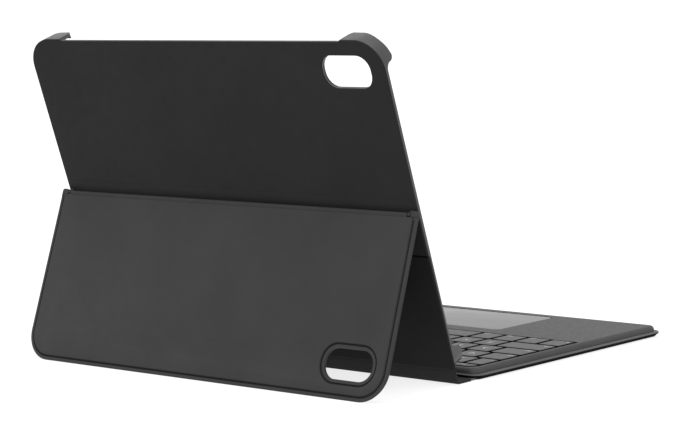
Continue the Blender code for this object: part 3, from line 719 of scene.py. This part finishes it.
def print_shape(shape, points):
    """A thin raised print of a convex outline."""
    loops = [[shape.verts.new((x, y, KEY_TOP + z)) for x, y in points]
             for z in (-PRINT_HEIGHT, PRINT_HEIGHT)]
    for face in closed_solid(shape, loops):
        face.material_index = 1


def print_arrow(shape, x, y, turn):
    angles = [math.radians(turn + a) for a in (0, 120, 240)]
    points = [(x + ARROW_SIZE * math.cos(a), y + ARROW_SIZE * math.sin(a)) for a in angles]
    print_shape(shape, points)


def cap(shape, x0, x1, y0, y1, corners):
    """A key cap with an eased rim and a slightly dished top."""
    reach = min(x1 - x0, y1 - y0) / 2
    levels = [(0.00015, KEY_BOTTOM), (0.0, KEY_BOTTOM + 0.00015), (0.0, KEY_TOP - 0.00050),
              (0.00005, KEY_TOP - 0.00030), (0.00016, KEY_TOP - 0.00014), (0.00034, KEY_TOP - 0.00004),
              (0.00060, KEY_TOP), (reach * 0.40, KEY_TOP - 0.00003), (reach * 0.70, KEY_TOP - 0.00005)]
    loops = []
    for inset, z in levels:
        radii = [max(corner - inset, 0.0002) for corner in corners]
        outline = rounded_rect(x0 + inset, x1 - inset, y0 + inset, y1 - inset, radii, 4)
        loops.append([shape.verts.new((x, y, z)) for x, y in outline])
    for face in closed_solid(shape, loops):
        # Faces below the rim take the near-black copy: painted shade in the gaps between keys.
        if face.calc_center_median().z < KEY_TOP - 0.00012:
            face.material_index = 2


def row_front(row):
    return WELL_REAR - 0.0004 - FUNCTION_PITCH - ROW_PITCH * row + KEY_GAP / 2


def row_depth(row):
    return (ROW_PITCH if row else FUNCTION_PITCH) - KEY_GAP


def add_key(shape, row, x0, x1, low=0.0, high=1.0):
    """Add one cap and return its middle and half sizes, for the print."""
    front, depth = row_front(row), row_depth(row)
    left, right = x0 + KEY_GAP / 2, x1 - KEY_GAP / 2
    y0, y1 = front + depth * low, front + depth * high
    small, large = KEY_CORNER, WELL_REAR_CORNER - 0.0008
    rear_left = large if row == 0 and x0 < -KEY_FIELD + 0.0003 else small
    rear_right = large if row == 0 and x1 > KEY_FIELD - 0.0003 else small
    cap(shape, left, right, y0, y1, (small, rear_right, rear_left, small))
    return (left + right) / 2, (y0 + y1) / 2, (right - left) / 2, (y1 - y0) / 2


def finish_keys(name, shape, node_name):
    obj = to_object(name, shape, KEY_PLASTIC, KEY_PRINT, KEY_SIDE_SHADE)
    obj.data.shade_smooth()
    obj.data.set_sharp_from_angle(angle=math.radians(50))
    place(obj, KEYBOARD, node_name, "key_plastic", node_name)


def worded_key(node_name, row, x0, x1, word, side):
    """A wide key with a small word near its front corner, or in the middle where side is 0."""
    shape = bmesh.new()
    x, y, half_x, half_y = add_key(shape, row, x0, x1)
    if side:
        align = "LEFT" if side < 0 else "RIGHT"
        print_text(shape, word, x + side * (half_x - 0.0014), y - half_y + 0.0028, WORD_SIZE, align)
    elif word:
        print_text(shape, word, x, y, SMALL_WORD_SIZE)
    finish_keys(node_name + "_cap", shape, node_name)


def lettered_row(node_name, row, start, legends):
    """Equal keys side by side; a legend of two marks is printed one above the other."""
    shape = bmesh.new()
    x = start
    for legend in legends:
        centre, y, _, _ = add_key(shape, row, x, x + KEY_UNIT)
        if len(legend) == 2:
            print_text(shape, legend[0], centre, y + MARK_OFFSET, UPPER_MARK_SIZE)
            print_text(shape, legend[1], centre, y - MARK_OFFSET, LOWER_MARK_SIZE)
        else:
            print_text(shape, legend, centre, y, LETTER_SIZE)
        x += KEY_UNIT
    finish_keys(node_name + "_caps", shape, node_name)


def function_row():
    width = 2 * KEY_FIELD / 14
    worded_key("key_escape", 0, -KEY_FIELD, -KEY_FIELD + width, "esc", 0)
    shape = bmesh.new()
    for index in range(1, 14):
        x0 = -KEY_FIELD + width * index
        x, y, _, _ = add_key(shape, 0, x0, x0 + width)
        print_text(shape, "F%d" % index if index < 13 else "home", x, y, SMALL_WORD_SIZE)
    finish_keys("keys_function_caps", shape, "keys_function")


def space_row():
    x = -KEY_FIELD
    for name, word in (("key_globe", "fn"), ("key_control", "ctrl"), ("key_option_left", "opt"),
                       ("key_command_left", "cmd")):
        worded_key(name, 5, x, x + SMALL_KEY, word, -1 if name == "key_globe" else 1)
        x += SMALL_KEY
    right = KEY_FIELD - 5 * SMALL_KEY
    worded_key("key_space", 5, x, right, "", 0)
    x = right
    for name, word in (("key_command_right", "cmd"), ("key_option_right", "opt")):
        worded_key(name, 5, x, x + SMALL_KEY, word, -1)
        x += SMALL_KEY
    lower, upper = (0.0, 0.46), (0.54, 1.0)
    for name, column, share, turn in (("key_arrow_left", 0, lower, 180), ("key_arrow_up", 1, upper, 90),
                                      ("key_arrow_down", 1, lower, -90), ("key_arrow_right", 2, lower, 0)):
        shape = bmesh.new()
        x0 = x + column * SMALL_KEY
        centre, y, _, _ = add_key(shape, 5, x0, x0 + SMALL_KEY, *share)
        print_arrow(shape, centre, y, turn)
        finish_keys(name + "_cap", shape, name)


def keys():
    function_row()
    pairs = ("!1", "@2", "#3", "$4", "%5", "^6", "&7", "*8", "(9", ")0", "_-", "+=")
    upper = list("QWERTYUIOP") + ["{[", "}]"]
    home = list("ASDFGHJKL") + [":;", "\"'"]
    lower = list("ZXCVBNM") + ["<,", ">.", "?/"]
    rows = ((1, "key_grave", 0.0128, "~", "keys_number", pairs, "key_backspace", "delete"),
            (2, "key_tab", 0.0180, "tab", "keys_letters_upper", upper, "key_backslash", "\\"),
            (3, "key_caps_lock", 0.0224, "caps", "keys_letters_home", home, "key_enter", "return"),
            (4, "key_shift_left", 0.0316, "shift", "keys_letters_lower", lower, "key_shift_right", "shift"))
    for row, first, first_width, first_word, group, legends, last, last_word in rows:
        start = -KEY_FIELD + first_width
        worded_key(first, row, -KEY_FIELD, start, first_word, -1)
        lettered_row(group, row, start, legends)
        worded_key(last, row, start + len(legends) * KEY_UNIT, KEY_FIELD, last_word, 1)
    space_row()


# ---- spine ----
def strip(name, start, end, half_width, angle, origin, body, *nodes):
    """A stiffened strip of the spine, lying along +Y of its own frame."""
    def outline(inset):
        return rounded_rect(-half_width + inset, half_width - inset, start + inset, end - inset,
                            max(0.0008 - inset, 0.0002), 6)
    obj = stacked(name, outline, eased(-SPINE_HALF, SPINE_HALF, 0.0003, 0.0003), LEATHER_DARK)
    obj.data.shade_smooth()
    obj.data.set_sharp_from_angle(angle=math.radians(50))
    where = Matrix.Translation(origin) @ Matrix.Rotation(angle, 4, "X")
    place(obj, where, body, "leather_dark", *nodes)


def crease(name, path, half_width, thickness, made=LEATHER_DARK):
    """Thin cover material that bends at a fold; path is its middle line as (y, z) points at rest."""
    shape = bmesh.new()
    loops = []
    for index, (y, z) in enumerate(path):
        before, after = path[max(index - 1, 0)], path[min(index + 1, len(path) - 1)]
        along = Vector((after[0] - before[0], after[1] - before[1])).normalized()
        across = Vector((-along.y, along.x)) * (thickness / 2)
        ring = []
        for sx, sn in ((-1, -1), (1, -1), (1, 1), (-1, 1)):
            ring.append(shape.verts.new((sx * half_width, y + sn * across.x, z + sn * across.y)))
        loops.append(ring)
    closed_solid(shape, loops)
    obj = to_object(name, shape, made)
    obj.data.shade_smooth()
    obj.data.set_sharp_from_angle(angle=math.radians(50))
    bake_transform(obj)


def bent_path(corner, before, after, reach, radius, steps=10):
    """(y, z) points along one direction, round a fillet at the corner, and along the other."""
    turn = before.angle(after)
    setback = radius * math.tan(turn / 2)
    centre = corner - before * setback + Vector((0, -before.z, before.y)) * radius
    points = [corner - before * reach]
    for step in range(steps + 1):
        angle = turn * step / steps
        spoke = Vector((0, before.z, -before.y)) * radius
        points.append(centre + Matrix.Rotation(angle, 3, "X") @ spoke)
    points.append(corner + after * reach)
    return [(point.y, point.z) for point in points]


def straight_path(start, end, steps=10):
    return [tuple(start.lerp(end, step / steps).yz) for step in range(steps + 1)]


def spine():
    span = BACK_FOLD.y - REAR_FOLD.y
    rise = (TRAY_FOLD - BACK_FOLD).length
    strip("spine_lower_cover", STRIP_GAP, span - STRIP_GAP, LOWER_STRIP_HALF_WIDTH, 0.0, REAR_FOLD,
          "spine_lower", "spine_lower_panel")
    strip("spine_upper_cover", STRIP_GAP, rise - 0.0007, UPPER_STRIP_HALF_WIDTH, SPINE_ANGLE, BACK_FOLD,
          "spine_upper", "spine_upper_panel")
    flat = Vector((0, 1, 0))
    rear = straight_path(REAR_FOLD - flat * 0.0030, REAR_FOLD + flat * 0.0024)
    crease("crease_keyboard", rear, KEYBOARD_CREASE_HALF_WIDTH, KEYBOARD_CREASE_THICKNESS,
           BASE_LEATHER)
    back = bent_path(BACK_FOLD, flat, SPINE_UP, 0.0026, 0.0008)
    crease("crease_back", back, BACK_CREASE_HALF_WIDTH, BACK_CREASE_THICKNESS)
    top = bent_path(TRAY_FOLD, SPINE_UP, TRAY_UP, 0.0022, 0.0040)
    crease("crease_tray", top, UPPER_STRIP_HALF_WIDTH, BACK_CREASE_THICKNESS)


# ---- tray ----
def tray_outline(inset, foot=TRAY_FOOT_CORNER):
    half = TRAY_HALF_WIDTH - inset
    upper, lower = TRAY_CORNER - inset, foot - inset
    return rounded_rect(-half, half, inset, TRAY_HEIGHT - inset, (lower, upper, upper, lower), 16)


def room_outline(inset):
    return tray_outline(inset, TRAY_CORNER)


def camera_cutter(name, growth):
    return prism(name, window_outline(CAMERA_CENTRE, CAMERA_HALF, CAMERA_CORNER, growth), -0.005, 0.02)


def tray_shell():
    """Thin plate with a low rim and four corner clips."""
    wall = eased(PLATE_BACK, HOOK_TOP, 0.0004, 0.0008, 6)
    shell = stacked("tray_shell_moulding", tray_outline, wall, TRAY_PLASTIC)
    room = stacked("tablet_room", room_outline, ((CLIP_WALL, PLATE_FRONT), (CLIP_WALL, HOOK_BOTTOM)))
    mouth = CLIP_WALL + HOOK_OVERHANG
    flared = mouth - 0.0004
    hook_sides = ((mouth, HOOK_BOTTOM - 0.002), (mouth, HOOK_TOP - 0.0004), (flared, HOOK_TOP + 0.0002),
                  (flared, 0.02))
    hook = stacked("hook_opening", room_outline, hook_sides)
    end, foot = CLIP_END, 0.0006
    long_gap = [(-end - 0.0032, 0.0145), (-end - 0.0026, HOOK_TOP + 0.0001),
                (-end - 0.0015, HOOK_TOP - 0.0005), (-end - 0.0006, HOOK_TOP - 0.0013),
                (-end - 0.0001, HOOK_TOP - 0.0025), (-end, HOOK_TOP - 0.0035),
                (-end, LONG_EDGE_FRONT + foot)]
    long_gap += [(-end + foot * (1 - math.cos(a)), LONG_EDGE_FRONT + foot * (1 - math.sin(a)))
                 for a in (0.4, 0.8, 1.2, math.pi / 2)]
    long_gap += [(-x, z) for x, z in reversed(long_gap)]
    along_y = prism("long_side_gap", long_gap, -0.25, 0.05)
    along_y.data.transform(Matrix(((1, 0, 0, 0), (0, 0, -1, 0), (0, 1, 0, 0), (0, 0, 0, 1))))
    angles = [math.pi / 2 * step / 8 for step in range(8, -1, -1)]
    curve = [(CLIP_FILLET * (1 - math.cos(a)), LIP_FRONT + CLIP_FILLET * (1 - math.sin(a)))
             for a in angles]
    curve += [(-0.0003, 0.0082), (-0.0012, 0.0098), (-0.0026, 0.0108), (-0.0042, 0.0113), (-0.0046, 0.0145)]
    low, high = CLIP_REACH_UP, TRAY_HEIGHT - CLIP_REACH_DOWN
    side_gap = [(low + y, z) for y, z in curve] + [(high - y, z) for y, z in reversed(curve)]
    cut(shell, room, hook, along_y, along_x("short_side_gap", side_gap, -0.14, 0.14),
        camera_cutter("camera_opening", 0.0), top_edge_recess("shell_edge_recess"))
    settle(shell)
    for vertex in shell.data.vertices:
        if vertex.co.z > CROWN_FOOT:
            lift = crown(abs(vertex.co.x))
            if vertex.co.y < TRAY_HEIGHT / 2:
                lift = min(lift, 0.0)       # the lower clips stay clear of the deck when the case is shut
            vertex.co.z += lift * (vertex.co.z - CROWN_FOOT) / (HOOK_TOP - CROWN_FOOT)
    soften(shell, 0.00025, 2, 50)
    place(shell, TRAY, "tray", "tray_plastic", "tablet_shell")


def crown(x):
    """How much higher a clip's front edge stands at x: most near its inner end, less at the corner."""
    share = min(max((x - CROWN_START) / CROWN_RUN, 0.0), 1.0)
    return CROWN_RISE - CROWN_FALL * share * share * (3 - 2 * share)


def top_edge_recess(name):
    return box(name, -CLIP_END, CLIP_END, TRAY_HEIGHT - TOP_EDGE_RECESS, 0.2, -0.01, 0.02)


def back_cover(name, half_width, bottom, top, radii, profile, node_name, *cutters):
    """A sheet of leatherette on the back of the tray, its edge turned in."""
    def outline(inset):
        half = half_width - inset
        corners = [max(radius - inset, 0.0002) for radius in radii]
        return rounded_rect(-half, half, bottom + inset, top - inset, corners, 16)
    # The lower cover gets the darker copy of the back leatherette: painted shade behind the kickstand.
    cover = stacked(name, outline, profile, LEATHER_DARK if cutters else LEATHER_LOWER_SHADE)
    if cutters:
        cut(cover, *cutters)
        settle(cover)
        soften(cover, 0.0002, 2, 50)
    else:
        cover.data.shade_smooth()
        cover.data.set_sharp_from_angle(angle=math.radians(50))
    place(cover, TRAY, "tray", "leather_dark", node_name)


def back_covers():
    round_corner = TRAY_CORNER - 0.0001
    square = 0.0005
    back_cover("upper_back_cover", TRAY_HALF_WIDTH + 0.0002, LOWER_PANEL_TOP + 0.0003,
               TRAY_HEIGHT - 0.0001, (square, round_corner, round_corner, square),
               eased(0.0, 0.0010, 0.0006, 0.0001),
               "upper_back_skin", camera_cutter("cover_camera_opening", 0.0002),
               top_edge_recess("cover_edge_recess"))
    back_cover("lower_back_cover", TRAY_HALF_WIDTH + 0.0007, 0.0004, LOWER_PANEL_TOP, (square,) * 4,
               eased(-0.0005, 0.0010, 0.0006, 0.0001), "lower_back_panel")


def hinge_leaf():
    """The strip glued across the back, with an ear at each end that holds the hinge pin."""
    def outline(inset):
        return rounded_rect(-EAR_OUTER + inset, EAR_OUTER - inset, HINGE_Y + 0.0019 + inset,
                            HINGE_Y + 0.0066 - inset, max(0.0006 - inset, 0.0002), 5)
    leaf = stacked("hinge_leaf_strip", outline, eased(-0.00015, 0.0001, 0.00012, 0.0001), LEATHER_DARK)
    place(leaf, TRAY, "tray", "leather_dark", "kickstand_hinge_leaf")
    leaf.data.shade_smooth()
    leaf.data.set_sharp_from_angle(angle=math.radians(50))
    for side, name in ((-1, "left"), (1, "right")):
        x0, x1 = sorted((side * EAR_INNER, side * EAR_OUTER))
        foot = ((HINGE_Y + 0.0014, 0.0), (HINGE_Y + 0.0012, -0.0009))
        angles = [math.radians(a) for a in range(0, 181, 15)]
        head = [(HINGE_Y + BEAD_RADIUS * math.cos(a), HINGE_Z - BEAD_RADIUS * math.sin(a)) for a in angles]
        heel = ((HINGE_Y - 0.0011, -0.0011), (HINGE_Y - 0.0008, 0.0))
        ear = along_x("hinge_ear_" + name, (*foot, *head, *heel), x0, x1, LEATHER)
        soften(ear, 0.0003, 3, 50)
        place(ear, TRAY, "tray", "leather_dark")


# ---- kickstand ----
def stand_outline(inset, drop=0.0):
    half = STAND_HALF_WIDTH - inset
    corner = STAND_CORNER - inset
    foot = -STAND_LENGTH - drop + inset
    outline = rounded_rect(-half, half, foot, STAND_TOP, (corner, 0.0004, 0.0004, corner), 16)
    return [(x * (1 - STAND_TAPER * (1 + y / STAND_LENGTH)), y) for x, y in outline]


def is_shaded_seam(inset, z):
    """The pressed line gets a darker copy of the cover, painted shade for its groove; inset is measured
    from the edge or the window.
    """
    return SEAM_SHADE_BAND[0] < inset < SEAM_SHADE_BAND[1]


def horn(name, side_x, low, high):
    """The flange's rounded end beside the hinge."""
    corners = (0.0001, 0.0012, 0.0010, 0.0001)
    tip = rounded_rect(HORN_INNER, HORN_OUTER, STAND_TOP + 0.0003, HORN_TOP, corners, 6)
    root = rounded_rect(HORN_INNER + 0.0021, HORN_OUTER, -0.0030, STAND_TOP + 0.0006, 0.0001, 2)
    pieces = []
    for part, points in (("tip", tip), ("root", root)):
        mirrored = points if side_x > 0 else [(-x, y) for x, y in reversed(points)]
        pieces.append(prism("%s_%s_%d" % (name, part, side_x), mirrored, low, high))
    return pieces


def window_step(name, side):
    """The pressed ring round the window, as a cutter with S-shaped walls that opens outwards."""
    levels = [(0.0017, side * FLANGE_FACE), (0.0019, side * SEAM_FACE), (0.0023, side * SEAM_FACE)]
    levels += swell(0.0023, side * SEAM_FACE, 0.0030, side * PANEL_FACE)
    levels += [(0.0031, side * (PANEL_FACE + 0.001))]
    # Faces in the pressed line take the darker copy: painted shade in the groove.
    return stacked(name, lambda growth: window_outline(WINDOW_CENTRE, WINDOW_HALF, WINDOW_CORNER, growth),
                   levels, LEATHER, LEATHER_SEAM_SHADE, second=is_shaded_seam)


def stand_cover(name, side, node_name):
    """A pressed cover: flat flange at the edge and round the window, raised over the core board."""
    back = side * 0.0001
    face, panel = side * FLANGE_FACE, side * PANEL_FACE
    profile = [(0.0, back), (0.0, face - side * 0.0003), (0.00008, face - side * 0.00012),
               (0.0003, face)]
    seam = side * SEAM_FACE
    profile += [(0.0018, face), (0.0020, seam), (0.0025, seam)]
    profile += swell(0.0025, seam, STAND_FLANGE + 0.0002, panel)
    drop = OUTER_DROP if side < 0 else 0.0
    # Faces in the pressed line take the darker copy: painted shade in the groove.
    cover = stacked(name, lambda inset: stand_outline(inset, drop), profile, LEATHER, LEATHER_SEAM_SHADE,
                    second=is_shaded_seam)
    pocket_floor = panel - side * COVER_THICKNESS
    pocket_sides = ((POCKET_INSET, -side * 0.001), (POCKET_INSET, pocket_floor))
    cut(cover, stacked(name + "_pocket", stand_outline, pocket_sides))
    low, high = sorted((back, pocket_floor + side * 0.0002))
    collar = window_outline(WINDOW_CENTRE, WINDOW_HALF, WINDOW_CORNER, COLLAR_WIDTH)
    unite(cover, prism(name + "_collar", collar, low, high))
    opening = window_outline(WINDOW_CENTRE, WINDOW_HALF, WINDOW_CORNER)
    cut(cover, window_step(name + "_step", side), prism(name + "_window", opening, -0.02, 0.02))
    low, high = sorted((back, face))
    unite(cover, *horn(name, -1, low, high), *horn(name, 1, low, high))
    settle(cover)
    soften(cover, 0.00018, 2, 55)
    place(cover, STAND, "kickstand", "leather", node_name)


def hinge_bead():
    """The covered tube along the top edge, with its tail between the two covers."""
    points = [(BEAD_RADIUS * math.cos(math.radians(a)), BEAD_RADIUS * math.sin(math.radians(a)))
              for a in range(-130, 131, 13)]
    tail = ((-0.0012, 0.0009), (-0.00155, 0.0009), (-0.00155, -0.0009), (-0.0012, -0.0009))
    filler = box("bead_filler", -HORN_INNER, HORN_INNER, STAND_TOP - 0.0001, -0.00125, -0.0006, 0.0006)
    bead = along_x("kickstand_hinge_bead", (*points, *tail), -BEAD_HALF_LENGTH, BEAD_HALF_LENGTH, LEATHER)
    unite(bead, filler)
    settle(bead)
    soften(bead, 0.0003, 3, 50)
    place(bead, STAND, "kickstand", "leather", "kickstand_hinge_tube")


def kickstand():
    stand_cover("kickstand_outer_cover", -1, "kickstand_outer_skin")
    stand_cover("kickstand_inner_cover", 1, "kickstand_inner_skin")
    hinge_bead()


def finish_carried_nodes():
    """The pieces whose shape is kept from the frame get their finished materials."""
    finishes = {
        "tablet_lining": MICROFIBRE,
        "kickstand_hinge_pin": STEEL,
        "charging_port": STEEL,
        "key_support_plate": STEEL,
        "touchpad_frame": STEEL,
        "lower_back_steel_plate": STEEL,
        "key_membrane": black_film(),
        "status_light_bar": light_guide(),
        "kickstand_core": fibre_board(),
    }
    board, foil = circuit_board(), battery_foil()
    for name in ("main_board", "touchpad_board"):
        finishes[name] = board
    for name in ("battery_cell_left", "battery_cell_middle"):
        finishes[name] = foil
    for place_name in ("closing_magnet", "kickstand_magnet"):
        finishes[place_name + "_left"] = MAGNET
        finishes[place_name + "_right"] = MAGNET
    for name, made in finishes.items():
        obj = frame["nodes"][name]
        obj.data.materials.clear()
        obj.data.materials.append(made)


# ---- studio ----
def studio():
    scene = bpy.context.scene
    scene.view_settings.view_transform = "Standard"
    world = bpy.data.worlds.new("studio")
    scene.world = world
    world.use_nodes = True
    background = world.node_tree.nodes["Background"]
    background.inputs["Color"].default_value = (1.0, 1.0, 1.0, 1.0)
    background.inputs["Strength"].default_value = 1.0

    shape = bmesh.new()
    bmesh.ops.create_grid(shape, x_segments=2, y_segments=2, size=150.0)
    paper = principled("studio_paper", 0.9, specular=0.0)
    shader_of(paper).inputs["Base Color"].default_value = (PAPER_TONE, PAPER_TONE, PAPER_TONE, 1.0)
    shader_of(paper).inputs["Emission Color"].default_value = (1.0, 1.0, 1.0, 1.0)
    shader_of(paper).inputs["Emission Strength"].default_value = PAPER_GLOW
    floor = to_object("studio_floor", shape, paper)
    floor.location.z = PAPER_LEVEL

    sky = bpy.data.lights.new("overhead_softbox", "SUN")
    sky.energy = SKY_STRENGTH
    sky.angle = math.radians(80)
    lamp = bpy.data.objects.new("overhead_softbox", sky)
    lamp.rotation_euler = (math.radians(-18), math.radians(-8), 0)
    scene.collection.objects.link(lamp)


def camera():
    """Behind the case and to its left, a little above it."""
    level = math.cos(CAMERA_PITCH)
    ahead = Vector((math.sin(CAMERA_AZIMUTH) * level, -math.cos(CAMERA_AZIMUTH) * level,
                    -math.sin(CAMERA_PITCH)))
    level_right = ahead.cross(Vector((0, 0, 1))).normalized()
    level_up = level_right.cross(ahead)
    right = level_right * math.cos(CAMERA_ROLL) + level_up * math.sin(CAMERA_ROLL)
    up = level_up * math.cos(CAMERA_ROLL) - level_right * math.sin(CAMERA_ROLL)
    turn = Matrix((right, up, -ahead)).transposed().to_4x4()
    data = bpy.data.cameras.new("camera")
    data.lens = CAMERA_LENS
    data.sensor_width = 36.0
    data.clip_start = 0.01
    data.clip_end = 500.0
    obj = bpy.data.objects.new("camera", data)
    obj.matrix_world = Matrix.Translation(CAMERA_PLACE) @ turn
    bpy.context.scene.collection.objects.link(obj)
    bpy.context.scene.camera = obj


keyboard_base()
keyboard_deck()
touchpad()
power_switch()
keys()
spine()
tray_shell()
back_covers()
hinge_leaf()
kickstand()
finish_carried_nodes()
studio()
camera()
